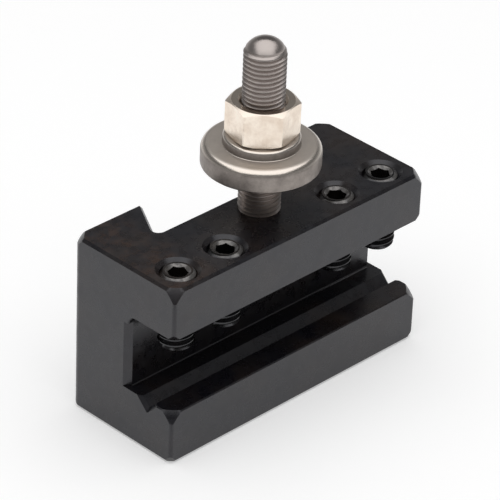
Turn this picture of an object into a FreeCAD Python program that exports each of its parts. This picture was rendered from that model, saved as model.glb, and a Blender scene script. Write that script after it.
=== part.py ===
import FreeCAD, Part
import math
import os
import re
import Sketcher

# Quick change tool holder: a steel block with a tool slot across its front, a dovetail recess in its
# back, four clamp screws over the slot, and a stud that carries the height collar and its lock nut.
# X runs along the block, the slot faces -Y, the dovetail faces +Y and +Z is up. Sizes are millimetres.

SIZES = {
    # block
    "body_length": 75.0,
    "body_depth": 31.0,
    "body_height": 43.0,
    "edge_break": 0.6,
    "front_edge_radius": 0.8,
    "back_edge_radius": 2.0,
    "top_corner_cut": 3.8,
    "floor_corner_cut": 3.4,
    "ceiling_corner_cut": 2.0,
    "base_corner_cut": 2.4,
    "corner_ball_inset": 8.0,
    # tool slot
    "lower_jaw": 12.7,
    "slot_height": 18.2,
    "slot_depth": 13.7,
    "slot_lower_radius": 0.4,
    "slot_upper_radius": 2.0,
    "slot_end_chamfer": 1.4,
    "jaw_break": 0.25,
    "groove_width": 4.0,
    "groove_from_front": 7.5,
    "groove_end_break": 0.8,
    # dovetail recess
    "recess_mouth": 36.0,
    "recess_depth": 11.2,
    "recess_flank_angle": 30.0,
    "recess_inner_radius": 1.2,
    "ear_tip_radius": 0.7,
    # clamp screws
    "screw_diameter": 7.9,
    "screw_length": 18.0,
    "screw_from_front": 6.5,
    "screw_from_end": 7.0,
    "screw_spacing": 13.7,
    "screw_sunk": 0.2,
    "screw_clearance": 0.05,
    "screw_end_chamfer": 0.7,
    "screw_mouth_width": 0.9,
    "socket_across_flats": 4.0,
    "socket_depth": 5.0,
    "cup_diameter": 4.6,
    "cup_depth": 1.1,
    # stud
    "stud_diameter": 9.3,
    "stud_from_front": 13.4,
    "stud_height": 41.0,
    "stud_hole_floor": 1.1,
    "stud_dome_height": 3.3,
    "stud_end_chamfer": 0.8,
    # height collar
    "collar_diameter": 26.0,
    "collar_thickness": 5.1,
    "collar_bevel": 1.0,
    "collar_lower_break": 0.3,
    "collar_lift": 10.8,
    "hub_diameter": 16.8,
    "hub_height": 2.1,
    "hub_bevel": 0.4,
    "running_clearance": 0.06,
    "bore_mouth_width": 0.7,
    # lock nut
    "nut_across_flats": 14.1,
    "nut_height": 8.3,
    "nut_crown_angle": 30.0,
    "nut_crown_inset": 0.25,
    "nut_seat_gap": 0.02,
}
OVERRUN = 1.0
SCREW_TURNS = (12.0, 41.0, 25.0, 52.0)
NUT_TURN = -45.0

doc = FreeCAD.newDocument("tool_holder")
sheet = doc.addObject("Spreadsheet::Sheet", "Sizes")
for row, (name, value) in enumerate(SIZES.items(), start=1):
    sheet.set(f"A{row}", name)
    sheet.set(f"B{row}", str(value))
    sheet.setAlias(f"B{row}", name)
doc.recompute()


def size(expression):
    """The present value of an expression of the sheet's names."""
    return float(sheet.evalExpression(expression))


def bound(expression):
    """The same expression as another object writes it, with each name looked up in the sheet."""
    return re.sub("[a-z_]+", lambda word: "Sizes." + word[0] if word[0] in SIZES else word[0], expression)


def origin_plane(body, role):
    for feature in body.Origin.OriginFeatures:
        if feature.Role == role:
            return feature
    raise ValueError(role)


def new_sketch(body, name, role, height=None):
    """A sketch on one of the body's origin planes, moved along the plane's normal by an expression."""
    sketch = body.newObject("Sketcher::SketchObject", name)
    sketch.AttachmentSupport = [(origin_plane(body, role), "")]
    sketch.MapMode = "FlatFace"
    if height:
        sketch.setExpression("AttachmentOffset.Base.z", bound(height))
    return sketch


def place_point(sketch, index, end, across, up):
    """Holds one point of a sketch at two expressions measured from its origin, or on an axis for a 0."""
    for kind, expression, axis in (("DistanceX", across, -2), ("DistanceY", up, -1)):
        if expression == "0":
            sketch.addConstraint(Sketcher.Constraint("PointOnObject", index, end, axis))
            continue
        value = size(expression)
        number = sketch.addConstraint(Sketcher.Constraint(kind, -1, 1, index, end, value))
        sketch.setExpression(f"Constraints[{number}]", bound(expression))


def draw_lines(sketch, corners, closed=True):
    """Straight lines through corners that are pairs of expressions; returns the last line's number."""
    points = [FreeCAD.Vector(size(across), size(up), 0) for across, up in corners]
    first = sketch.GeometryCount
    count = len(points) if closed else len(points) - 1
    for i in range(count):
        sketch.addGeometry(Part.LineSegment(points[i], points[(i + 1) % len(points)]), False)
        place_point(sketch, first + i, 1, *corners[i])
        if i:
            sketch.addConstraint(Sketcher.Constraint("Coincident", first + i - 1, 2, first + i, 1))
    if closed:
        sketch.addConstraint(Sketcher.Constraint("Coincident", first + count - 1, 2, first, 1))
    return first + count - 1


def draw_circle(sketch, across, up, radius):
    """A circle whose centre and radius are expressions."""
    centre = FreeCAD.Vector(size(across), size(up), 0)
    index = sketch.addGeometry(Part.Circle(centre, FreeCAD.Vector(0, 0, 1), size(radius)), False)
    place_point(sketch, index, 3, across, up)
    number = sketch.addConstraint(Sketcher.Constraint("Radius", index, size(radius)))
    sketch.setExpression(f"Constraints[{number}]", bound(radius))


def draw_hexagon(sketch, across_flats):
    """A hexagon about the sketch's origin with two flats square to the upright direction."""
    reach, half_side, half = f"{across_flats} / sqrt(3)", f"{across_flats} / sqrt(12)", f"{across_flats} / 2"
    right = [(half_side, "-1 * " + half), (reach, "0"), (half_side, half)]
    left = [("-1 * " + half_side, half), ("-1 * " + reach, "0"), ("-1 * " + half_side, "-1 * " + half)]
    draw_lines(sketch, right + left)


def pad(body, name, sketch, length):
    feature = body.newObject("PartDesign::Pad", name)
    feature.Profile = sketch
    feature.setExpression("Length", bound(length))
    doc.recompute()
    return feature


def revolve(body, name, sketch):
    """A full turn about the sketch's upright axis."""
    feature = body.newObject("PartDesign::Revolution", name)
    feature.Profile = sketch
    feature.ReferenceAxis = (sketch, ["V_Axis"])
    feature.Angle = 360
    doc.recompute()
    return feature


def cut(body, name, sketch, kind, **settings):
    """A pocket or a groove that must take material away."""
    before = body.Shape.Volume
    feature = body.newObject("PartDesign::" + kind, name)
    feature.Profile = sketch
    for setting, value in settings.items():
        if setting == "Length":
            feature.setExpression(setting, bound(value))
        else:
            setattr(feature, setting, value)
    doc.recompute()
    if body.Shape.Volume > before - 1e-3:
        raise RuntimeError(name + " cuts nothing")
    return feature


def pocket(body, name, sketch, length, side="One side", reverse=False):
    return cut(body, name, sketch, "Pocket", SideType=side, Reversed=reverse, Length=length)


def groove(body, name, sketch):
    return cut(body, name, sketch, "Groove", ReferenceAxis=(sketch, ["V_Axis"]), Angle=360)


def edge_names(shape, wanted):
    """Names of the edges whose two ends and middle pass the test."""
    names = []
    for number, edge in enumerate(shape.Edges, start=1):
        first, last = edge.FirstParameter, edge.LastParameter
        points = [edge.valueAt(first), edge.valueAt((first + last) / 2), edge.valueAt(last)]
        if wanted(points):
            names.append(f"Edge{number}")
    return names


def near(value, target):
    return abs(value - target) < 1e-4


def dress(body, kind, name, wanted, amount):
    """A fillet or a chamfer on the edges of the body's last feature that pass the test."""
    base = body.Tip
    names = edge_names(base.Shape, wanted)
    if not names:
        raise RuntimeError(name + " finds no edge")
    feature = body.newObject("PartDesign::" + kind, name)
    feature.Base = (base, names)
    feature.setExpression("Radius" if kind == "Fillet" else "Size", bound(amount))
    doc.recompute()
    return feature


def stand(piece, across, along, up, turn=0.0):
    """Places a piece by expressions, turned about its own upright axis."""
    piece.Placement = FreeCAD.Placement(FreeCAD.Vector(), FreeCAD.Rotation(turn, 0, 0))
    for axis, expression in (("x", across), ("y", along), ("z", up)):
        piece.setExpression("Placement.Base." + axis, bound(expression))


# Places that several features share
HALF_LENGTH = "body_length / 2"
HALF_DEPTH = "body_depth / 2"
SLOT_WALL = "slot_depth - body_depth / 2"
SLOT_CEILING = "lower_jaw + slot_height"
UPPER_JAW = "body_height - lower_jaw - slot_height"
RECESS_FLOOR = "body_depth / 2 - recess_depth"
RECESS_INNER = "recess_mouth / 2 + recess_depth * tan(recess_flank_angle * 1 deg)"
GROOVE_MIDDLE = "groove_from_front - body_depth / 2"
SCREW_LINE = "screw_from_front - body_depth / 2"
SCREW_HOLE = "screw_diameter / 2 + screw_clearance"
STUD_LINE = "stud_from_front - body_depth / 2"
STUD_SEAT = UPPER_JAW + " - stud_hole_floor"
STUD_BORE = "stud_diameter / 2 + running_clearance"
HUB_TOP = "collar_thickness + hub_height"
OUTER_SCREW = "(body_length / 2 - screw_from_end)"
INNER_SCREW = "(body_length / 2 - screw_from_end - screw_spacing)"
SCREW_PLACES = {
    "clamp_screw_1": "-1 * " + OUTER_SCREW,
    "clamp_screw_2": "-1 * " + INNER_SCREW,
    "clamp_screw_3": INNER_SCREW,
    "clamp_screw_4": OUTER_SCREW,
}


def draw_plan(body):
    """The block seen from above: a rectangle with the dovetail recess in its back."""
    plan = new_sketch(body, "plan_outline", "XY_Plane")
    draw_lines(plan, [
        ("-1 * " + HALF_LENGTH, "-1 * " + HALF_DEPTH),
        (HALF_LENGTH, "-1 * " + HALF_DEPTH),
        (HALF_LENGTH, HALF_DEPTH),
        ("recess_mouth / 2", HALF_DEPTH),
        (RECESS_INNER, RECESS_FLOOR),
        (f"-1 * ({RECESS_INNER})", RECESS_FLOOR),
        ("-1 * recess_mouth / 2", HALF_DEPTH),
        ("-1 * " + HALF_LENGTH, HALF_DEPTH),
    ])
    return plan


def draw_slot(body):
    """The tool slot seen from its end, with the V-groove for round tools in its floor."""
    profile = new_sketch(body, "slot_profile", "YZ_Plane")
    outside = f"-1 * body_depth / 2 - {OVERRUN}"
    draw_lines(profile, [
        (outside, "lower_jaw"),
        (GROOVE_MIDDLE + " - groove_width / 2", "lower_jaw"),
        (GROOVE_MIDDLE, "lower_jaw - groove_width / 2"),
        (GROOVE_MIDDLE + " + groove_width / 2", "lower_jaw"),
        (SLOT_WALL, "lower_jaw"),
        (SLOT_WALL, SLOT_CEILING),
        (outside, SLOT_CEILING),
    ])
    return profile


def draw_slot_ends(body):
    """The triangles that chamfer both ends of the slot's back wall."""
    ends = new_sketch(body, "slot_end_corners", "XY_Plane", "lower_jaw")
    for side in ("-1", "1"):
        draw_lines(ends, [
            (f"{side} * ({HALF_LENGTH} - slot_end_chamfer - {OVERRUN})", f"{SLOT_WALL} - {OVERRUN}"),
            (f"{side} * ({HALF_LENGTH} + {OVERRUN})", f"{SLOT_WALL} - {OVERRUN}"),
            (f"{side} * ({HALF_LENGTH} + {OVERRUN})", f"{SLOT_WALL} + slot_end_chamfer + {OVERRUN}"),
        ])
    return ends


def soften_block(body):
    """Rounds the upright edges of the block, its recess and its slot, then breaks the long edges."""
    length, depth, height = size(HALF_LENGTH), size(HALF_DEPTH), size("body_height")
    wall, floor, ceiling = size(SLOT_WALL), size("lower_jaw"), size(SLOT_CEILING)
    recess_floor, recess_inner, mouth = size(RECESS_FLOOR), size(RECESS_INNER), size("recess_mouth / 2")
    groove_floor = size("lower_jaw - groove_width / 2")

    def upright(points, across, along):
        return all(near(abs(p.x), across) and near(p.y, along) for p in points)

    def lengthwise(points, along, levels):
        return any(all(near(p.y, along) and near(p.z, level) for p in points) for level in levels)

    def flat(points, level):
        return all(near(p.z, level) for p in points)

    def at_groove_end(points):
        return all(near(abs(p.x), length) for p in points) and near(min(p.z for p in points), groove_floor)

    dress(body, "Chamfer", "groove_end_breaks", at_groove_end, "groove_end_break")
    dress(body, "Fillet", "slot_lower_round", lambda p: lengthwise(p, wall, (floor,)), "slot_lower_radius")
    dress(body, "Fillet", "slot_upper_round", lambda p: lengthwise(p, wall, (ceiling,)), "slot_upper_radius")
    dress(body, "Fillet", "recess_inner_rounds", lambda p: upright(p, recess_inner, recess_floor),
          "recess_inner_radius")
    dress(body, "Fillet", "ear_tip_rounds", lambda p: upright(p, mouth, depth), "ear_tip_radius")
    dress(body, "Fillet", "back_rounds", lambda p: upright(p, length, depth), "back_edge_radius")
    dress(body, "Fillet", "front_rounds", lambda p: upright(p, length, -depth), "front_edge_radius")
    pocket(body, "slot_end_chamfers", draw_slot_ends(body), "slot_height - slot_upper_radius", reverse=True)
    dress(body, "Chamfer", "top_and_base_breaks", lambda p: flat(p, 0) or flat(p, height), "edge_break")
    dress(body, "Chamfer", "jaw_breaks", lambda p: lengthwise(p, -depth, (floor, ceiling)), "jaw_break")


def drill_block(body):
    """The four clamp screw holes through the upper jaw, with wide mouths, and the blind stud hole."""
    places = new_sketch(body, "screw_places", "XY_Plane", "body_height")
    for across in SCREW_PLACES.values():
        draw_circle(places, across, SCREW_LINE, SCREW_HOLE)
    pocket(body, "screw_holes", places, f"{UPPER_JAW} + {OVERRUN}")
    seat = new_sketch(body, "stud_place", "XY_Plane", "body_height")
    draw_circle(seat, "0", STUD_LINE, "stud_diameter / 2")
    pocket(body, "stud_hole", seat, STUD_SEAT)

    top, line, reach = size("body_height"), size(SCREW_LINE), size(SCREW_HOLE) + 1e-3
    dress(body, "Chamfer", "screw_mouths",
          lambda p: all(near(q.z, top) and abs(q.y - line) < reach for q in p), "screw_mouth_width")


def make_corner_cutter(number, side, back, level, inward, corner_cut):
    """What lies outside a ball at one corner; the ball meets the three edges at corner_cut from it."""
    box = doc.addObject("Part::Box", f"corner_box_{number}")
    for edge in ("Length", "Width", "Height"):
        box.setExpression(edge, bound(f"corner_ball_inset + {OVERRUN}"))
    start = {1: "- corner_ball_inset", -1: f"- {OVERRUN}"}
    box.setExpression("Placement.Base.x", bound(f"{side} * body_length / 2 {start[side]}"))
    box.setExpression("Placement.Base.y", bound(f"{back} * body_depth / 2 {start[back]}"))
    box.setExpression("Placement.Base.z", bound(f"{level} {start[-inward]}"))
    ball = doc.addObject("Part::Sphere", f"corner_ball_{number}")
    radius = f"sqrt((corner_ball_inset - {corner_cut}) ^ 2 + 2 * corner_ball_inset ^ 2)"
    ball.setExpression("Radius", bound(radius))
    ball.setExpression("Placement.Base.x", bound(f"{side} * (body_length / 2 - corner_ball_inset)"))
    ball.setExpression("Placement.Base.y", bound(f"{back} * (body_depth / 2 - corner_ball_inset)"))
    ball.setExpression("Placement.Base.z", bound(f"{level} + {inward} * corner_ball_inset"))
    cutter = doc.addObject("Part::Cut", f"corner_cutter_{number}")
    cutter.Base = box
    cutter.Tool = ball
    return cutter


def make_holder_body():
    """The block, with the outer corners of both ends and both jaws ground to a ball."""
    block = doc.addObject("PartDesign::Body", "block")
    pad(block, "block_pad", draw_plan(block), "body_height")
    pocket(block, "tool_slot", draw_slot(block), f"body_length + {2 * OVERRUN}", side="Symmetric")
    soften_block(block)
    drill_block(block)

    corners = [
        (-1, "0", 1, "base_corner_cut"),
        (1, "0", 1, "base_corner_cut"),
        (-1, "lower_jaw", -1, "floor_corner_cut"),
        (-1, SLOT_CEILING, 1, "ceiling_corner_cut"),
        (-1, "body_height", -1, "top_corner_cut"),
        (1, "body_height", -1, "top_corner_cut"),
    ]
    cutters = []
    for side in (-1, 1):
        for corner in corners:
            cutters.append(make_corner_cutter(len(cutters) + 1, side, *corner))
    all_corners = doc.addObject("Part::MultiFuse", "all_corners")
    all_corners.Shapes = cutters
    body = doc.addObject("Part::Cut", "holder_body")
    body.Base = block
    body.Tool = all_corners
    return body


def make_screw(name, across, turn):
    """A socket set screw with a cup point, standing on its point."""
    body = doc.addObject("PartDesign::Body", name)
    outline = new_sketch(body, name + "_outline", "XZ_Plane")
    draw_lines(outline, [
        ("0", "cup_depth"),
        ("cup_diameter / 2", "0"),
        ("screw_diameter / 2 - screw_end_chamfer", "0"),
        ("screw_diameter / 2", "screw_end_chamfer"),
        ("screw_diameter / 2", "screw_length - screw_end_chamfer"),
        ("screw_diameter / 2 - screw_end_chamfer", "screw_length"),
        ("0", "screw_length"),
    ])
    revolve(body, name + "_turned", outline)
    socket = new_sketch(body, name + "_socket_outline", "XY_Plane", "screw_length")
    draw_hexagon(socket, "socket_across_flats")
    pocket(body, name + "_socket", socket, "socket_depth")
    stand(body, across, SCREW_LINE, "body_height - screw_sunk - screw_length", turn)
    return body


def make_stud():
    """The stud that is screwed into the top of the block, with a rounded top end."""
    body = doc.addObject("PartDesign::Body", "height_stud")
    outline = new_sketch(body, "stud_outline", "XZ_Plane")
    top = STUD_SEAT + " + stud_height"
    last_line = draw_lines(outline, [
        ("0", top),
        ("0", "0"),
        ("stud_diameter / 2 - stud_end_chamfer", "0"),
        ("stud_diameter / 2", "stud_end_chamfer"),
        ("stud_diameter / 2", top + " - stud_dome_height"),
    ], closed=False)
    rise, reach = size("stud_dome_height"), size("stud_diameter / 2")
    radius = (reach ** 2 + rise ** 2) / (2 * rise)
    circle = Part.Circle(FreeCAD.Vector(0, size(top) - radius, 0), FreeCAD.Vector(0, 0, 1), radius)
    dome = outline.addGeometry(Part.ArcOfCircle(circle, math.asin((radius - rise) / radius), math.pi / 2), False)
    outline.addConstraint(Sketcher.Constraint("Coincident", last_line, 2, dome, 1))
    outline.addConstraint(Sketcher.Constraint("Coincident", dome, 2, 0, 1))
    outline.addConstraint(Sketcher.Constraint("PointOnObject", dome, 3, -2))
    place_point(outline, last_line, 2, "stud_diameter / 2", top + " - stud_dome_height")
    revolve(body, "stud_turned", outline)
    stand(body, "0", STUD_LINE, f"body_height - ({STUD_SEAT})")
    return body


def make_collar():
    """The round collar that sets the height: a bevelled disc with a raised hub, bored for the stud."""
    body = doc.addObject("PartDesign::Body", "height_collar")
    outline = new_sketch(body, "collar_outline", "XZ_Plane")
    draw_lines(outline, [
        (STUD_BORE + " + bore_mouth_width", "0"),
        ("collar_diameter / 2 - collar_lower_break", "0"),
        ("collar_diameter / 2", "collar_lower_break"),
        ("collar_diameter / 2", "collar_thickness - collar_bevel"),
        ("collar_diameter / 2 - collar_bevel", "collar_thickness"),
        ("hub_diameter / 2", "collar_thickness"),
        ("hub_diameter / 2", HUB_TOP + " - hub_bevel"),
        ("hub_diameter / 2 - hub_bevel", HUB_TOP),
        (STUD_BORE + " + bore_mouth_width", HUB_TOP),
        (STUD_BORE, HUB_TOP + " - bore_mouth_width"),
        (STUD_BORE, "bore_mouth_width"),
    ])
    revolve(body, "collar_turned", outline)
    stand(body, "0", STUD_LINE, "body_height + collar_lift")
    return body


def make_lock_nut():
    """The hexagon nut that locks the collar, crowned at both ends, with a chamfered bore."""
    body = doc.addObject("PartDesign::Body", "lock_nut")
    flats = new_sketch(body, "nut_flats", "XY_Plane")
    draw_hexagon(flats, "nut_across_flats")
    pad(body, "nut_blank", flats, "nut_height")

    crowns = new_sketch(body, "nut_crowns", "XZ_Plane")
    inner = "nut_across_flats / 2 - nut_crown_inset"
    outer = "nut_across_flats / sqrt(3) + nut_crown_inset"
    width = "nut_across_flats / sqrt(3) - nut_across_flats / 2 + 2 * nut_crown_inset"
    drop = f"({width}) * tan(nut_crown_angle * 1 deg)"
    draw_lines(crowns, [(inner, "nut_height"), (outer, "nut_height"), (outer, f"nut_height - {drop}")])
    draw_lines(crowns, [(inner, "0"), (outer, "0"), (outer, drop)])
    groove(body, "nut_crown_cut", crowns)

    hole = new_sketch(body, "nut_bore_outline", "XZ_Plane")
    draw_lines(hole, [
        ("0", "0"),
        (STUD_BORE + " + bore_mouth_width", "0"),
        (STUD_BORE, "bore_mouth_width"),
        (STUD_BORE, "nut_height - bore_mouth_width"),
        (STUD_BORE + " + bore_mouth_width", "nut_height"),
        ("0", "nut_height"),
    ])
    groove(body, "nut_bore", hole)
    stand(body, "0", STUD_LINE, f"body_height + collar_lift + {HUB_TOP} + nut_seat_gap", NUT_TURN)
    return body


pieces = [make_holder_body()]
for (name, across), turn in zip(SCREW_PLACES.items(), SCREW_TURNS):
    pieces.append(make_screw(name, across, turn))
pieces += [make_stud(), make_collar(), make_lock_nut()]
doc.recompute()

for thing in doc.Objects:
    if "Invalid" in thing.State or "Error" in thing.State:
        raise RuntimeError(f"{thing.Name} failed: {thing.State}")
for piece in pieces:
    piece.Label = piece.Name
    if piece.Shape.isNull() or not piece.Shape.isValid() or len(piece.Shape.Solids) != 1:
        raise RuntimeError(piece.Label + " is not one valid solid")

os.makedirs("parts", exist_ok=True)
for piece in pieces:
    piece.Shape.exportStep(f"parts/{piece.Label}.step")
    box = piece.Shape.BoundBox
    print(f"{piece.Label}: volume {piece.Shape.Volume:.0f}, z {box.ZMin:.2f} to {box.ZMax:.2f}")
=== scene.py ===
"""Looks of a quick change tool holder: a black oxide block with clamp screws, stud, collar and lock nut."""
import logging
import math
from dataclasses import dataclass
from enum import Enum
from typing import Callable, ClassVar, Iterable

import bmesh
import bpy
from mathutils import Matrix, Vector


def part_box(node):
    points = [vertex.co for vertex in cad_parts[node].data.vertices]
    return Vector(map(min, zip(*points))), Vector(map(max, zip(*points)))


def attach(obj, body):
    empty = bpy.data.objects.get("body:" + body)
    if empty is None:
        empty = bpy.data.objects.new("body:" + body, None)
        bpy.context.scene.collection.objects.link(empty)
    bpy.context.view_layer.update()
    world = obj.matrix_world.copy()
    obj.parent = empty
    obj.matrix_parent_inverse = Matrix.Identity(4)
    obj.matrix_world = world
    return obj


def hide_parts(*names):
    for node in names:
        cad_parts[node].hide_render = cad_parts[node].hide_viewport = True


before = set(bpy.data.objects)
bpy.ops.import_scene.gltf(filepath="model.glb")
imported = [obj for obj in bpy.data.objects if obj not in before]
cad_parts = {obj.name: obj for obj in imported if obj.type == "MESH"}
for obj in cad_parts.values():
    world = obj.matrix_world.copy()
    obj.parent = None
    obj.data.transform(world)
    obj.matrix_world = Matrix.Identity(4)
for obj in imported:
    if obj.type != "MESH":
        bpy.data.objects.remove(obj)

LOG = logging.getLogger("tool_holder")
MM = 0.001
MICRON = 0.000001
# Lengths in millimetres: how far apart places still count as one, and the play of a bore on the stud.
NEAR = 0.001
RUNNING_CLEARANCE = 0.06
# Turned rings have this many steps, and the sockets of the four screws are turned by these degrees.
RING_STEPS = 144
SCREW_TURNS = (12.0, 41.0, 25.0, 52.0)
Triple = tuple[float, float, float]
Colour = Triple
Place = Callable[[float], tuple[float, float]]


class Lay(Enum):
    """The way the fine marks of machining run over a surface."""

    EVEN = "even"
    TURNED = "turned"


class Shader:
    """A node material that is filled step by step."""

    def __init__(self, name: str) -> None:
        """Starts a material with one Principled surface.

        Args:
            name: The material's name.
        """
        self.material = bpy.data.materials.new(name)
        self.material.use_nodes = True
        self.nodes = self.material.node_tree.nodes
        self.links = self.material.node_tree.links
        self.surface = self.nodes["Principled BSDF"]
        self.coordinates = self.nodes.new("ShaderNodeTexCoord").outputs["Object"]

    def link(self, start: bpy.types.NodeSocket, end: bpy.types.NodeSocket) -> None:
        """Joins two sockets."""
        self.links.new(start, end)

    def noise(self, scale: float, detail: float = 4.0, stretch: Triple = (1.0, 1.0, 1.0),
              speckle: float = 0.5) -> bpy.types.NodeSocket:
        """Adds a noise pattern on the piece's own coordinates.

        Args:
            scale: How many features there are to a metre.
            detail: How many octaves of finer noise are added.
            stretch: How many times finer the pattern is along each axis.
            speckle: How strong each finer octave is beside the one before.

        Returns:
            The socket that gives the pattern from 0 to 1.
        """
        mapping = self.nodes.new("ShaderNodeMapping")
        mapping.inputs["Scale"].default_value = stretch
        self.link(self.coordinates, mapping.inputs["Vector"])
        pattern = self.nodes.new("ShaderNodeTexNoise")
        pattern.inputs["Scale"].default_value = scale
        pattern.inputs["Detail"].default_value = detail
        pattern.inputs["Roughness"].default_value = speckle
        self.link(mapping.outputs["Vector"], pattern.inputs["Vector"])
        return pattern.outputs["Fac"]

    def rings(self, axis_at: tuple[float, float], scale: float, detail: float = 3.0) -> bpy.types.NodeSocket:
        """Adds a pattern of fine circles about an upright axis, as a lathe leaves them.

        Args:
            axis_at: Where the axis stands, in metres.
            scale: How many circles there are to a metre.
            detail: How many octaves of finer circles are added.

        Returns:
            The socket that gives the pattern from 0 to 1.
        """
        parts = self.nodes.new("ShaderNodeSeparateXYZ")
        mapping = self.nodes.new("ShaderNodeMapping")
        mapping.inputs["Location"].default_value = (-axis_at[0], -axis_at[1], 0.0)
        self.link(self.coordinates, mapping.inputs["Vector"])
        self.link(mapping.outputs["Vector"], parts.inputs["Vector"])
        flat = self.nodes.new("ShaderNodeCombineXYZ")
        self.link(parts.outputs["X"], flat.inputs["X"])
        self.link(parts.outputs["Y"], flat.inputs["Y"])
        reach = self.nodes.new("ShaderNodeVectorMath")
        reach.operation = "LENGTH"
        self.link(flat.outputs["Vector"], reach.inputs[0])
        place = self.nodes.new("ShaderNodeCombineXYZ")
        self.link(reach.outputs["Value"], place.inputs["X"])
        self.link(parts.outputs["Z"], place.inputs["Z"])
        pattern = self.nodes.new("ShaderNodeTexNoise")
        pattern.inputs["Scale"].default_value = scale
        pattern.inputs["Detail"].default_value = detail
        self.link(place.outputs["Vector"], pattern.inputs["Vector"])
        return pattern.outputs["Fac"]

    def ramp(self, value: bpy.types.NodeSocket, low: float, high: float,
             start: float = 0.0, end: float = 1.0) -> bpy.types.NodeSocket:
        """Maps a value's range from low to high onto start to end, and clamps it.

        Args:
            value: The socket with the value.
            low: The value that becomes start.
            high: The value that becomes end.
            start: The output at low.
            end: The output at high.

        Returns:
            The socket with the mapped value.
        """
        node = self.nodes.new("ShaderNodeMapRange")
        for name, number in (("From Min", low), ("From Max", high), ("To Min", start), ("To Max", end)):
            node.inputs[name].default_value = number
        self.link(value, node.inputs["Value"])
        return node.outputs["Result"]

    def mix(self, amount: bpy.types.NodeSocket, first: Colour | bpy.types.NodeSocket,
            second: Colour) -> bpy.types.NodeSocket:
        """Mixes two colours by a pattern.

        Args:
            amount: The socket with the share of the second colour.
            first: The first colour, or a socket with one that is already mixed.
            second: The second colour.

        Returns:
            The socket with the mixed colour.
        """
        node = self.nodes.new("ShaderNodeMix")
        node.data_type = "RGBA"
        if isinstance(first, bpy.types.NodeSocket):
            self.link(first, node.inputs["A"])
        else:
            node.inputs["A"].default_value = (*first, 1.0)
        node.inputs["B"].default_value = (*second, 1.0)
        self.link(amount, node.inputs["Factor"])
        return node.outputs["Result"]

    def combine(self, operation: str, first: bpy.types.NodeSocket,
                second: bpy.types.NodeSocket) -> bpy.types.NodeSocket:
        """Combines two patterns by one operation of arithmetic.

        Args:
            operation: The operation's name on a Math node.
            first: The socket with the first pattern.
            second: The socket with the second pattern.

        Returns:
            The socket with the combined pattern.
        """
        node = self.nodes.new("ShaderNodeMath")
        node.operation = operation
        self.link(first, node.inputs[0])
        self.link(second, node.inputs[1])
        return node.outputs["Value"]

    def product(self, first: bpy.types.NodeSocket, second: bpy.types.NodeSocket) -> bpy.types.NodeSocket:
        """Multiplies two patterns."""
        return self.combine("MULTIPLY", first, second)

    def shift(self, first: bpy.types.NodeSocket, second: bpy.types.NodeSocket) -> bpy.types.NodeSocket:
        """Adds two patterns."""
        return self.combine("ADD", first, second)

    def place(self, axis: str) -> bpy.types.NodeSocket:
        """Gives the place on the piece along one axis.

        Args:
            axis: The axis, X, Y or Z.

        Returns:
            The socket with the place in metres.
        """
        parts = self.nodes.new("ShaderNodeSeparateXYZ")
        self.link(self.coordinates, parts.inputs["Vector"])
        return parts.outputs[axis]

    def level(self) -> bpy.types.NodeSocket:
        """Gives how level a surface is.

        Returns:
            The socket with 1 where it faces straight up or down, and 0 where it is upright.
        """
        parts = self.nodes.new("ShaderNodeSeparateXYZ")
        self.link(self.nodes.new("ShaderNodeNewGeometry").outputs["Normal"], parts.inputs["Vector"])
        node = self.nodes.new("ShaderNodeMath")
        node.operation = "ABSOLUTE"
        self.link(parts.outputs["Z"], node.inputs[0])
        return node.outputs["Value"]

    def bump(self, height: bpy.types.NodeSocket, depth: float, strength: float) -> None:
        """Adds relief to the surface, on top of any relief that it has.

        Args:
            height: The socket with the pattern.
            depth: The height of the relief in metres.
            strength: How strongly it shows, from 0 to 1.
        """
        node = self.nodes.new("ShaderNodeBump")
        node.inputs["Distance"].default_value = depth
        node.inputs["Strength"].default_value = strength
        self.link(height, node.inputs["Height"])
        normal = self.surface.inputs["Normal"]
        if normal.is_linked:
            self.link(normal.links[0].from_socket, node.inputs["Normal"])
        self.link(node.outputs["Normal"], normal)


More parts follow.
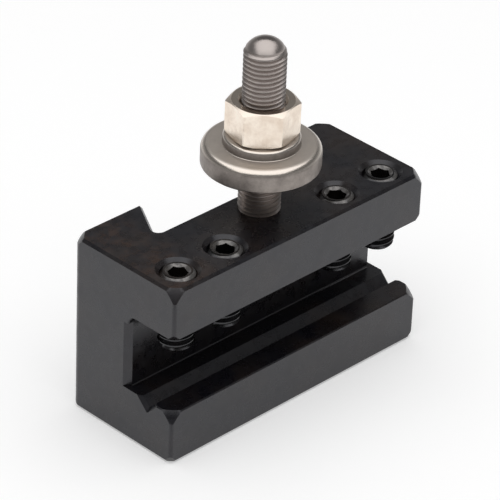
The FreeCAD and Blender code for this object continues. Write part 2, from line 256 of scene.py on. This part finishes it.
@dataclass(frozen=True)
class BlackOxide:
    """Steel with a black oxide skin: dark, mottled with brown, with a soft sheen and worn edges.

    worn_from is the height above which slanted edges are worn bare. stained_to is where the rusty
    stain on the face at height top ends along X. Both are in metres, and None leaves them out.
    """

    BROWN: ClassVar[Colour] = (0.022, 0.014, 0.010)
    RUST: ClassVar[Colour] = (0.032, 0.017, 0.011)
    BARE: ClassVar[Colour] = (0.26, 0.25, 0.24)
    SHEEN: ClassVar[Colour] = (0.95, 0.95, 1.0)
    SMOOTHER: ClassVar[float] = 0.07
    ROUGHER: ClassVar[float] = 0.10
    STAIN_FADE: ClassVar[float] = 8 * MM
    WEAR_FADE: ClassVar[float] = 0.1 * MM

    name: str
    colour: Colour
    tint: Colour
    roughness: float
    grain: float
    worn_from: float | None = None
    stained_to: float | None = None
    top: float = 0.0

    def material(self) -> bpy.types.Material:
        """Makes the material.

        Returns:
            The finished material.
        """
        shader = Shader(self.name)
        cloud = shader.ramp(shader.noise(scale=140.0, detail=5.0), low=0.42, high=0.72)
        colour = shader.mix(cloud, self.colour, self.tint)
        bloom = shader.ramp(shader.noise(scale=55.0), low=0.50, high=0.68, end=0.8)
        lying = shader.ramp(shader.level(), low=0.2, high=0.9, start=0.4)
        colour = shader.mix(shader.product(bloom, lying), colour, self.BROWN)
        if self.stained_to is not None:
            colour = shader.mix(self.stain(shader), colour, self.RUST)
        if self.worn_from is not None:
            worn = self.wear(shader)
            colour = shader.mix(worn, colour, self.BARE)
            shader.link(worn, shader.surface.inputs["Metallic"])
        shader.link(colour, shader.surface.inputs["Base Color"])
        smear = shader.ramp(shader.noise(scale=420.0, detail=6.0), low=0.3, high=0.7,
                            start=self.roughness - self.SMOOTHER, end=self.roughness + self.ROUGHER)
        shader.link(smear, shader.surface.inputs["Roughness"])
        shader.surface.inputs["IOR"].default_value = 1.6
        shader.surface.inputs["Specular Tint"].default_value = (*self.SHEEN, 1.0)
        grit = shader.noise(scale=5200.0, detail=3.0)
        shader.bump(grit, depth=10 * MICRON, strength=self.grain)
        ground = shader.noise(scale=2600.0, detail=3.0, stretch=(0.05, 1.0, 1.0))
        shader.bump(ground, depth=4 * MICRON, strength=0.3)
        return shader.material

    def stain(self, shader: Shader) -> bpy.types.NodeSocket:
        """Spreads rusty brown in blots over the top near the -X end.

        Args:
            shader: The material in the making.

        Returns:
            The socket with the share of rust.
        """
        near = shader.ramp(shader.place("X"), low=self.stained_to - self.STAIN_FADE, high=self.stained_to,
                           start=1.0, end=0.0)
        high = shader.ramp(shader.place("Z"), low=self.top - 3 * MM, high=self.top - MM)
        lying = shader.ramp(shader.level(), low=0.90, high=0.98)
        speckles = shader.noise(scale=330.0, detail=6.0, speckle=0.7)
        blots = shader.ramp(speckles, low=0.44, high=0.62, start=0.1)
        return shader.product(shader.product(near, shader.product(high, lying)), blots)

    def wear(self, shader: Shader) -> bpy.types.NodeSocket:
        """Wears the slanted edges above the worn height bare, in patches.

        Args:
            shader: The material in the making.

        Returns:
            The socket with the share of bare steel.
        """
        above = shader.ramp(shader.place("Z"), low=self.worn_from, high=self.worn_from + self.WEAR_FADE)
        slanted = shader.ramp(shader.level(), low=0.97, high=0.85)
        patches = shader.ramp(shader.noise(scale=900.0), low=0.35, high=0.6, start=0.2, end=0.7)
        return shader.product(shader.product(above, slanted), patches)


@dataclass(frozen=True)
class BareSteel:
    """Bare machined steel, with the marks of its machining.

    colour and shade mottle the skin. edge is laid on its slanted faces in full and on its level
    faces at six tenths; on the collar it is a painted highlight, a bright line on the bevel and
    lighter level faces. The three values of roughness are those of upright walls, of slanted bevel
    faces and of level faces. relief is the depth of the marks in micrometres.
    """

    SLOPE: ClassVar[tuple[float, float]] = (0.3, 0.6)
    FACE: ClassVar[tuple[float, float]] = (0.88, 0.98)

    name: str
    colour: Colour
    shade: Colour
    edge: Colour
    roughness: float
    slanted: float
    faced: float
    relief: float
    lay: Lay = Lay.EVEN
    axis_at: tuple[float, float] = (0.0, 0.0)

    def material(self) -> bpy.types.Material:
        """Makes the material.

        Returns:
            The finished material.
        """
        shader = Shader(self.name)
        shader.surface.inputs["Metallic"].default_value = 1.0
        cloud = shader.ramp(shader.noise(scale=300.0, detail=6.0, speckle=0.75), low=0.38, high=0.66)
        skin = shader.mix(cloud, self.colour, self.shade)
        # Where edge goes: slanted faces in full, level faces at six tenths; on the collar this paints a
        # highlight on the bevel and lightens the level faces.
        bevel_colour_and_highlight = shader.product(shader.ramp(shader.level(), *self.SLOPE),
                                shader.ramp(shader.level(), *self.FACE, start=1.0, end=0.6))
        shader.link(shader.mix(bevel_colour_and_highlight, skin, self.edge), shader.surface.inputs["Base Color"])
        slanted = shader.ramp(shader.level(), *self.SLOPE, start=self.roughness, end=self.slanted)
        faced = shader.ramp(shader.level(), *self.FACE, end=self.faced - self.slanted)
        shader.link(shader.shift(slanted, faced), shader.surface.inputs["Roughness"])
        shader.bump(self.marks(shader), depth=self.relief * MICRON, strength=0.35)
        return shader.material

    def marks(self, shader: Shader) -> bpy.types.NodeSocket:
        """Lays the machining marks.

        Args:
            shader: The material in the making.

        Returns:
            The socket with their pattern from 0 to 1.
        """
        if self.lay is Lay.TURNED:
            return shader.rings(self.axis_at, scale=5200.0)
        return shader.noise(scale=2200.0)


class Mesh:
    """A mesh in the making, shaped with bmesh operators, in millimetres about an upright axis."""

    def __init__(self) -> None:
        """Starts an empty mesh."""
        self.bm = bmesh.new()

    def chain(self, points: Iterable[tuple[float, float]]) -> None:
        """Adds a line through points that are pairs of radius and height.

        Args:
            points: The corners, from one end of the line to the other.
        """
        verts = [self.bm.verts.new((reach, 0.0, level)) for reach, level in points]
        for pair in zip(verts, verts[1:]):
            self.bm.edges.new(pair)

    def turn(self, steps: int) -> None:
        """Turns the line that was added into a closed skin about the axis.

        Args:
            steps: How many steps a full turn has.
        """
        geometry = [*self.bm.verts, *self.bm.edges]
        bmesh.ops.spin(self.bm, geom=geometry, cent=(0, 0, 0), axis=(0, 0, 1), dvec=(0, 0, 0),
                       angle=math.tau, steps=steps, use_merge=True, use_duplicate=False)
        self.weld()

    def weld(self, reach: float = 1e-4) -> None:
        """Merges points that lie on each other."""
        bmesh.ops.remove_doubles(self.bm, verts=self.bm.verts[:], dist=reach)

    def grow(self, loop: list[bmesh.types.BMEdge], place: Place) -> list[bmesh.types.BMEdge]:
        """Extrudes a closed loop about the axis to a new ring.

        Args:
            loop: The edges of the loop.
            place: Gives the ring's radius and height at an angle.

        Returns:
            The edges of the new ring.
        """
        made = bmesh.ops.extrude_edge_only(self.bm, edges=loop)["geom"]
        for vert in (item for item in made if isinstance(item, bmesh.types.BMVert)):
            angle = math.atan2(vert.co.y, vert.co.x)
            reach, level = place(angle)
            vert.co = (reach * math.cos(angle), reach * math.sin(angle), level)
        return [item for item in made if isinstance(item, bmesh.types.BMEdge) and item.is_boundary]

    def close(self, loop: list[bmesh.types.BMEdge], level: float) -> None:
        """Closes a loop with a fan to a point on the axis.

        Args:
            loop: The edges of the loop.
            level: The height of the point.
        """
        ring = bmesh.ops.extrude_edge_only(self.bm, edges=loop)["geom"]
        verts = [item for item in ring if isinstance(item, bmesh.types.BMVert)]
        bmesh.ops.pointmerge(self.bm, verts=verts, merge_co=(0.0, 0.0, level))

    def cut(self, level: float, keep_above: bool) -> list[bmesh.types.BMEdge]:
        """Cuts everything off at a level.

        Args:
            level: The height of the cut.
            keep_above: Whether the upper part stays.

        Returns:
            The edges of the open end.
        """
        geometry = [*self.bm.verts, *self.bm.edges, *self.bm.faces]
        bmesh.ops.bisect_plane(self.bm, geom=geometry, dist=1e-5, plane_co=(0, 0, level),
                               plane_no=(0, 0, -1 if keep_above else 1), clear_outer=True)
        self.weld()
        return [edge for edge in self.bm.edges
                if edge.is_boundary and all(abs(vert.co.z - level) < NEAR for vert in edge.verts)]

    def finish(self, name: str, at: Vector, turn: float = 0.0, sharp: float = 32.0) -> bpy.types.Object:
        """Makes the object, with its place in its mesh.

        Args:
            name: The piece's name.
            at: Where the axis meets the piece's foot, in metres.
            turn: The turn about the axis in degrees.
            sharp: The angle in degrees from which an edge stays sharp.

        Returns:
            The finished object, at the origin.
        """
        bmesh.ops.recalc_face_normals(self.bm, faces=self.bm.faces[:])
        place = Matrix.Translation(at) @ Matrix.Rotation(math.radians(turn), 4, "Z") @ Matrix.Scale(MM, 4)
        bmesh.ops.transform(self.bm, matrix=place, verts=self.bm.verts[:])
        data = bpy.data.meshes.new(name)
        self.bm.to_mesh(data)
        self.bm.free()
        return make_object(name, data, sharp)


def make_object(name: str, data: bpy.types.Mesh, sharp: float) -> bpy.types.Object:
    """Links a smooth-shaded object whose steeper edges stay sharp.

    Args:
        name: The object's name.
        data: Its mesh.
        sharp: The angle in degrees from which an edge stays sharp.

    Returns:
        The object.
    """
    data.shade_smooth()
    data.set_sharp_from_angle(angle=math.radians(sharp))
    piece = bpy.data.objects.new(name, data)
    bpy.context.scene.collection.objects.link(piece)
    return piece


def hexagon(across_flats: float, angle: float) -> float:
    """Gives the reach of a hexagon with a corner at angle 0, at any angle."""
    sixth = math.tau / 6
    return across_flats / 2 / math.cos((angle % sixth) - sixth / 2)


def node_radius(node: str) -> float:
    """Gives half of a node's width along X, in millimetres."""
    low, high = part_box(node)
    return (high.x - low.x) / 2 / MM


@dataclass(frozen=True)
class Thread:
    """A screw thread of the usual 60 degree form, with its depth and its flats as shares of the pitch."""

    DEPTH: ClassVar[float] = 0.6134
    FOOT_END: ClassVar[float] = 0.167
    CREST_START: ClassVar[float] = 0.521
    CREST_END: ClassVar[float] = 0.646

    major: float
    pitch: float
    steps: int = 64

    @property
    def minor(self) -> float:
        """The radius at the foot of the thread."""
        return self.major - self.DEPTH * self.pitch

    def skin(self, low: float, high: float, envelope: Callable[[float], float]) -> Mesh:
        """Makes the thread's skin between two levels.

        Args:
            low: The level of the lower end.
            high: The level of the upper end.
            envelope: The largest radius that the piece has at a level.

        Returns:
            The mesh, open and longer than asked at both ends.
        """
        mesh = Mesh()
        start = low - 2 * self.pitch
        form = (
            (self.minor, 0.0),
            (self.minor, self.FOOT_END),
            (self.major, self.CREST_START),
            (self.major, self.CREST_END),
            (self.minor, 1.0),
        )
        mesh.chain((reach, start + share * self.pitch) for reach, share in form)
        bmesh.ops.spin(mesh.bm, geom=[*mesh.bm.verts, *mesh.bm.edges], cent=(0, 0, 0), axis=(0, 0, 1),
                       dvec=(0, 0, self.pitch / self.steps), angle=math.tau, steps=self.steps,
                       use_merge=False, use_duplicate=False)
        one_turn = [*mesh.bm.verts, *mesh.bm.edges, *mesh.bm.faces]
        for number in range(1, math.ceil((high - start) / self.pitch) + 2):
            copied = bmesh.ops.duplicate(mesh.bm, geom=one_turn)["geom"]
            verts = [item for item in copied if isinstance(item, bmesh.types.BMVert)]
            bmesh.ops.translate(mesh.bm, verts=verts, vec=(0.0, 0.0, number * self.pitch))
        mesh.weld()
        for vert in mesh.bm.verts:
            reach = math.hypot(vert.co.x, vert.co.y)
            limit = envelope(vert.co.z)
            if reach > limit:
                vert.co.x *= limit / reach
                vert.co.y *= limit / reach
        return mesh


class Part:
    """A piece of the holder that stands for one node of the frame."""

    node: str
    body: str
    slot: str

    @property
    def foot(self) -> Vector:
        """The middle of the node's lower end, in metres."""
        low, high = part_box(self.node)
        return Vector(((low.x + high.x) / 2, (low.y + high.y) / 2, low.z))

    @property
    def height(self) -> float:
        """The node's height in millimetres."""
        low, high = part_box(self.node)
        return (high.z - low.z) / MM

    def dress(self, piece: bpy.types.Object, finish: BlackOxide | BareSteel) -> bpy.types.Object:
        """Gives a piece its material and ties it to the frame.

        Args:
            piece: The finished object.
            finish: Its finish.

        Returns:
            The same object.
        """
        piece.data.materials.clear()
        piece.data.materials.append(finish.material())
        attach(piece, self.body)
        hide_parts(self.node)
        LOG.info("%s: %d faces", piece.name, len(piece.data.polygons))
        return piece


@dataclass
class ToolBlock(Part):
    """The block with its slot, dovetail recess and holes."""

    node: str = "holder_body"
    body: str = "holder"
    slot: str = "black_oxide_block"
    stain_length: float = 15.0

    def build(self) -> bpy.types.Object:
        """Builds the block from a merged copy of its node.

        Returns:
            The finished block.
        """
        bm = bmesh.new()
        bm.from_mesh(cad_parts[self.node].data)
        bmesh.ops.remove_doubles(bm, verts=bm.verts[:], dist=1e-7)
        bmesh.ops.dissolve_limit(bm, angle_limit=math.radians(0.5), use_dissolve_boundaries=False,
                                 verts=bm.verts[:], edges=bm.edges[:])
        data = bpy.data.meshes.new("block")
        bm.to_mesh(data)
        bm.free()
        # The stored normals belong to the loose triangles and don't fit the merged faces.
        stored = data.attributes.get("custom_normal")
        if stored is not None:
            data.attributes.remove(stored)
        piece = make_object("block", data, sharp=30.0)
        modifier = piece.modifiers.new("face_weights", "WEIGHTED_NORMAL")
        modifier.keep_sharp = True
        low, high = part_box(self.node)
        finish = BlackOxide(
            name="black_oxide_block",
            colour=(0.0042, 0.0040, 0.0062),
            tint=(0.010, 0.008, 0.008),
            roughness=0.28,
            grain=0.25,
            stained_to=low.x + self.stain_length * MM,
            top=high.z,
        )
        return self.dress(piece, finish)


@dataclass
class ClampScrew(Part):
    """A socket set screw with a cup point."""

    number: int
    turn: float
    slot: str = "black_oxide_screw"
    pitch: float = 1.411
    chamfer: float = 0.7
    socket: float = 4.0
    socket_mouth: float = 2.75
    mouth_slope: float = 0.75
    socket_depth: float = 5.0
    drill_point: float = 0.8
    cup: float = 4.6
    cup_depth: float = 1.1
    worn_depth: float = 0.6

    def __post_init__(self) -> None:
        """Names the node and the body from the screw's number."""
        self.node = f"clamp_screw_{self.number}"
        self.body = f"screw_{self.number}"

    def build(self) -> bpy.types.Object:
        """Builds the threaded screw with its socket and its cup.

        Returns:
            The finished screw.
        """
        radius, length = node_radius(self.node), self.height
        end = radius - self.chamfer
        bottom = length - self.socket_depth

        def envelope(level: float) -> float:
            """Gives the screw's radius at a level, within the chamfers of its ends."""
            return min(radius, end + max(0.0, level), end + max(0.0, length - level))

        def socket(angle: float) -> float:
            """Gives the reach of the socket's wall at an angle."""
            return hexagon(self.socket, angle)

        mesh = Thread(radius, self.pitch).skin(0.0, length, envelope)
        point = mesh.cut(0.0, keep_above=True)
        head = mesh.cut(length, keep_above=False)
        rim = mesh.grow(point, lambda angle: (self.cup / 2, 0.0))
        mesh.close(rim, self.cup_depth)
        mouth = mesh.grow(head, lambda angle: (self.socket_mouth, length))
        edge = mesh.grow(mouth, lambda angle: (
            socket(angle), length - self.mouth_slope * (self.socket_mouth - socket(angle))))
        floor = mesh.grow(edge, lambda angle: (socket(angle), bottom))
        mesh.close(floor, bottom - self.drill_point)
        piece = mesh.finish(f"set_screw_{self.number}", self.foot, self.turn)
        finish = BlackOxide(
            name=f"black_oxide_screw_{self.number}",
            colour=(0.003, 0.003, 0.003),
            tint=(0.006, 0.006, 0.006),
            roughness=0.22,
            grain=0.2,
            worn_from=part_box(self.node)[1].z - self.worn_depth * MM,
        )
        return self.dress(piece, finish)


@dataclass
class HeightStud(Part):
    """The threaded stud with its rounded end."""

    node: str = "height_stud"
    body: str = "holder"
    slot: str = "bright_steel"
    pitch: float = 1.058
    dome: float = 3.3
    dome_inset: float = 0.02
    dome_rings: int = 10
    chamfer: float = 0.8

    def build(self) -> bpy.types.Object:
        """Builds the stud, thread and dome.

        Returns:
            The finished stud.
        """
        radius, length = node_radius(self.node), self.height
        ball = (radius ** 2 + self.dome ** 2) / (2 * self.dome)
        centre = length - ball

        def envelope(level: float) -> float:
            """Keeps the thread within the stud's dome and the chamfer of its foot.

            Args:
                level: The height above the stud's foot.

            Returns:
                The stud's largest radius there.
            """
            rise = max(0.0, level - centre)
            shoulder = math.sqrt(max(0.0, ball ** 2 - rise ** 2)) if level > length - self.dome else radius
            return min(radius, shoulder, radius - self.chamfer + max(0.0, level))

        thread = Thread(radius, self.pitch)
        mesh = thread.skin(0.0, length, envelope)
        foot = mesh.cut(0.0, keep_above=True)
        mesh.close(foot, 0.0)
        reach = thread.minor - self.dome_inset
        ring = mesh.cut(centre + math.sqrt(ball ** 2 - reach ** 2), keep_above=False)
        lean = math.asin(reach / ball)
        for number in range(1, self.dome_rings):
            now = lean * (1 - number / self.dome_rings)
            here = (ball * math.sin(now), centre + ball * math.cos(now))
            ring = mesh.grow(ring, lambda angle, here=here: here)
        mesh.close(ring, length)
        piece = mesh.finish("threaded_stud", self.foot)
        finish = BareSteel(
            name="stud_steel",
            colour=(0.40, 0.355, 0.335),
            shade=(0.28, 0.25, 0.235),
            edge=(0.41, 0.37, 0.35),
            roughness=0.34,
            slanted=0.34,
            faced=0.20,
            relief=5.0,
        )
        return self.dress(piece, finish)


def running_bore() -> float:
    """Gives the radius of a bore that slides on the stud, in millimetres."""
    return node_radius(HeightStud.node) + RUNNING_CLEARANCE


@dataclass
class HeightCollar(Part):
    """The turned collar with its hub."""

    node: str = "height_collar"
    body: str = "collar"
    slot: str = "satin_steel"
    thickness: float = 5.1
    bevel: float = 1.0
    foot_break: float = 0.3
    hub: float = 16.8
    hub_bevel: float = 0.4
    mouth: float = 0.7
    softness: float = 0.18
    rim_softness: float = 0.6
    soft_steps: int = 4

    def build(self) -> bpy.types.Object:
        """Builds the collar by turning its section.

        Returns:
            The finished collar.
        """
        radius, height = node_radius(self.node), self.height
        bore, hub = running_bore(), self.hub / 2
        points = [
            (bore, self.mouth),
            (bore + self.mouth, 0.0),
            (radius - self.foot_break, 0.0),
            (radius, self.foot_break),
            (radius, self.thickness - self.bevel),
            (radius - self.bevel, self.thickness),
            (hub, self.thickness),
            (hub, height - self.hub_bevel),
            (hub - self.hub_bevel, height),
            (bore + self.mouth, height),
            (bore, height - self.mouth),
        ]
        mesh = Mesh()
        mesh.chain([*points, points[0]])
        mesh.weld()
        rim = [vert for vert in mesh.bm.verts
               if vert.co.x > hub + self.hub_bevel and vert.co.z > self.thickness / 2]
        others = [vert for vert in mesh.bm.verts if vert not in rim]
        for verts, offset in ((others, self.softness), (rim, self.rim_softness)):
            bmesh.ops.bevel(mesh.bm, geom=verts, offset=offset, offset_type="OFFSET",
                            affect="VERTICES", segments=self.soft_steps, profile=0.5, material=-1)
        mesh.turn(steps=RING_STEPS)
        piece = mesh.finish("turned_collar", self.foot, sharp=40.0)
        finish = BareSteel(
            name="collar_steel",
            colour=(0.33, 0.295, 0.27),
            shade=(0.21, 0.185, 0.17),
            # Painted highlight: twice the side's colour, for a bright line on the bevel and lighter level
            # faces.
            edge=(0.66, 0.60, 0.54),
            roughness=0.46,
            slanted=0.24,
            faced=0.50,
            relief=20.0,
            lay=Lay.TURNED,
            axis_at=(self.foot.x, self.foot.y),
        )
        return self.dress(piece, finish)


@dataclass
class LockNut(Part):
    """The hexagon nut, crowned at both ends."""

    node: str = "lock_nut"
    body: str = "nut"
    slot: str = "bright_steel"
    turn: float = -45.0
    across_flats: float = 14.1
    crown: float = 6.8
    crown_slope: float = math.tan(math.radians(30))
    mouth: float = 0.7
    edge_round: float = 0.22
    round_steps: int = 3

    def build(self) -> bpy.types.Object:
        """Builds the nut ring by ring.

        Returns:
            The finished nut.
        """
        height, bore = self.height, running_bore()
        mesh = Mesh()
        start = Matrix.Translation((0.0, 0.0, self.mouth))
        bmesh.ops.create_circle(mesh.bm, cap_ends=False, radius=bore, segments=RING_STEPS, matrix=start)
        ring = mesh.bm.edges[:]

        def flank(angle: float) -> float:
            """Gives the reach of the six flats at an angle."""
            return hexagon(self.across_flats, angle)

        def rise(angle: float) -> float:
            """Gives how far the crown falls back from an end at an angle."""
            return max(0.0, flank(angle) - self.crown) * self.crown_slope

        places = [
            lambda angle: (bore + self.mouth, 0.0),
            lambda angle: (self.crown, 0.0),
            lambda angle: (flank(angle), rise(angle)),
            lambda angle: (flank(angle), height - rise(angle)),
            lambda angle: (self.crown, height),
            lambda angle: (bore + self.mouth, height),
            lambda angle: (bore, height - self.mouth),
            lambda angle: (bore, self.mouth),
        ]
        for place in places:
            ring = mesh.grow(ring, place)
        mesh.weld()
        upright = [edge for edge in mesh.bm.edges if self.is_corner(edge)]
        bmesh.ops.bevel(mesh.bm, geom=upright, offset=self.edge_round, offset_type="OFFSET",
                        affect="EDGES", segments=self.round_steps, profile=0.5, material=-1)
        piece = mesh.finish("hexagon_nut", self.foot, self.turn, sharp=28.0)
        finish = BareSteel(
            name="nut_steel",
            colour=(0.94, 0.84, 0.73),
            shade=(0.76, 0.64, 0.53),
            edge=(0.78, 0.69, 0.60),
            roughness=0.24,
            slanted=0.34,
            faced=0.20,
            relief=8.0,
        )
        return self.dress(piece, finish)

    def is_corner(self, edge: bmesh.types.BMEdge) -> bool:
        """Tells whether an edge is one of the six upright corners.

        Args:
            edge: The edge.

        Returns:
            True if it stands upright at a corner's reach.
        """
        first, last = (vert.co for vert in edge.verts)
        apart = math.hypot(first.x - last.x, first.y - last.y)
        reach = math.hypot(first.x, first.y)
        corner = self.across_flats / math.sqrt(3)
        return apart < NEAR and abs(reach - corner) < NEAR


@dataclass
class Studio:
    """The pale floor, the soft light and the camera, in metres, degrees and watts.

    room gives the grey of the surroundings at heights from the horizon, 0, to straight above, 1.
    """

    azimuth: float = -45.915
    elevation: float = 31.75
    distance: float = 0.7502
    roll: float = 2.39
    focal: float = 250.0
    clip: tuple[float, float] = (0.05, 20.0)
    aim: Triple = (0.0, 0.0, 0.031)
    lamp_elevation: float = 86.0
    lamp_distance: float = 0.8
    lamp_size: float = 1.4
    lamp_power: float = 8.3
    floor_size: float = 3.0
    floor_drop: float = 20 * MICRON
    floor_grey: float = 0.80
    floor_roughness: float = 0.9
    floor_glow: float = 0.35
    room: tuple[tuple[float, float], ...] = (
        (0.0, 0.60), (0.12, 0.46), (0.36, 0.16), (0.60, 0.16), (1.0, 0.20),
    )

    def build(self) -> None:
        """Builds the whole studio."""
        self.floor()
        self.world()
        self.lamp()
        self.camera()
        bpy.context.scene.view_settings.view_transform = "Standard"

    def floor(self) -> None:
        """Lays a pale floor that shows white to the camera and keeps the object's shadow."""
        bm = bmesh.new()
        under = Matrix.Translation((0.0, 0.0, -self.floor_drop))
        bmesh.ops.create_grid(bm, x_segments=1, y_segments=1, size=self.floor_size, matrix=under)
        data = bpy.data.meshes.new("floor")
        bm.to_mesh(data)
        bm.free()
        plane = bpy.data.objects.new("floor", data)
        bpy.context.scene.collection.objects.link(plane)
        material = bpy.data.materials.new("pale_floor")
        material.use_nodes = True
        nodes, links = material.node_tree.nodes, material.node_tree.links
        surface = nodes["Principled BSDF"]
        surface.inputs["Base Color"].default_value = (self.floor_grey, self.floor_grey, self.floor_grey, 1.0)
        surface.inputs["Roughness"].default_value = self.floor_roughness
        surface.inputs["Specular IOR Level"].default_value = 0.0
        surface.inputs["Emission Color"].default_value = (1.0, 1.0, 1.0, 1.0)
        links.new(self.seen(nodes, links, self.floor_glow), surface.inputs["Emission Strength"])
        data.materials.append(material)

    def seen(self, nodes: bpy.types.Nodes, links: bpy.types.NodeLinks,
             strength: float) -> bpy.types.NodeSocket:
        """Gives a strength to the rays of the camera, of gloss and of clear materials only.

        Args:
            nodes: The nodes of the tree.
            links: The links of the tree.
            strength: The strength for those rays.

        Returns:
            The socket with the strength.
        """
        path = nodes.new("ShaderNodeLightPath")
        total = path.outputs["Is Camera Ray"]
        for kind in ("Is Glossy Ray", "Is Transmission Ray"):
            either = nodes.new("ShaderNodeMath")
            either.operation = "MAXIMUM"
            links.new(total, either.inputs[0])
            links.new(path.outputs[kind], either.inputs[1])
            total = either.outputs["Value"]
        scaled = nodes.new("ShaderNodeMath")
        scaled.operation = "MULTIPLY"
        scaled.inputs[1].default_value = strength
        links.new(total, scaled.inputs[0])
        return scaled.outputs["Value"]

    def world(self) -> None:
        """Sets a grey room that is pale near the floor, and white to the camera."""
        world = bpy.data.worlds.new("room")
        bpy.context.scene.world = world
        world.use_nodes = True
        nodes, links = world.node_tree.nodes, world.node_tree.links
        room = nodes["Background"]
        parts = nodes.new("ShaderNodeSeparateXYZ")
        links.new(nodes.new("ShaderNodeTexCoord").outputs["Generated"], parts.inputs["Vector"])
        ramp = nodes.new("ShaderNodeValToRGB")
        links.new(parts.outputs["Z"], ramp.inputs["Fac"])
        elements = ramp.color_ramp.elements
        elements[0].position = self.room[0][0]
        elements[1].position = self.room[-1][0]
        for place, _ in self.room[1:-1]:
            elements.new(place)
        for element, (_, grey) in zip(elements, self.room):
            element.color = (grey, grey, grey, 1.0)
        links.new(ramp.outputs["Color"], room.inputs["Color"])
        white = nodes.new("ShaderNodeBackground")
        white.inputs["Color"].default_value = (1.0, 1.0, 1.0, 1.0)
        chosen = nodes.new("ShaderNodeMixShader")
        links.new(nodes.new("ShaderNodeLightPath").outputs["Is Camera Ray"], chosen.inputs["Fac"])
        links.new(room.outputs["Background"], chosen.inputs[1])
        links.new(white.outputs["Background"], chosen.inputs[2])
        links.new(chosen.outputs["Shader"], nodes["World Output"].inputs["Surface"])

    def lamp(self) -> None:
        """Hangs one wide soft lamp over the object."""
        light = bpy.data.lights.new("overhead", "AREA")
        light.shape = "SQUARE"
        light.size = self.lamp_size
        light.energy = self.lamp_power
        lamp = bpy.data.objects.new("overhead", light)
        bpy.context.scene.collection.objects.link(lamp)
        lamp.matrix_world = self.looking(self.azimuth, self.lamp_elevation, self.lamp_distance)

    def camera(self) -> None:
        """Sets the camera where the photo was taken from, with a longer lens."""
        lens = bpy.data.cameras.new("camera")
        lens.lens = self.focal
        lens.clip_start, lens.clip_end = self.clip
        camera = bpy.data.objects.new("camera", lens)
        bpy.context.scene.collection.objects.link(camera)
        camera.matrix_world = self.looking(self.azimuth, self.elevation, self.distance, self.roll)
        bpy.context.scene.camera = camera

    def looking(self, azimuth: float, elevation: float, distance: float, roll: float = 0.0) -> Matrix:
        """Gives the place of something that looks at the aim from a direction.

        Args:
            azimuth: The direction about the object, in degrees.
            elevation: The height above the horizon, in degrees.
            distance: The distance in metres.
            roll: The turn about the line of sight, in degrees.

        Returns:
            The matrix of the place.
        """
        turn, lift = math.radians(azimuth), math.radians(elevation)
        away = Vector((math.sin(turn) * math.cos(lift), -math.cos(turn) * math.cos(lift), math.sin(lift)))
        facing = away.to_track_quat("Z", "Y").to_matrix().to_4x4()
        return (Matrix.Translation(Vector(self.aim) + away * distance) @ facing
                @ Matrix.Rotation(math.radians(roll), 4, "Z"))


def main() -> None:
    """Builds every piece of the holder, then the studio."""
    logging.basicConfig(level=logging.INFO, format="%(name)s: %(message)s")
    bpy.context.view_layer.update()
    ToolBlock().build()
    for number, turn in enumerate(SCREW_TURNS, start=1):
        ClampScrew(number, turn).build()
    HeightStud().build()
    HeightCollar().build()
    LockNut().build()
    Studio().build()


if __name__ == "__main__":
    main()
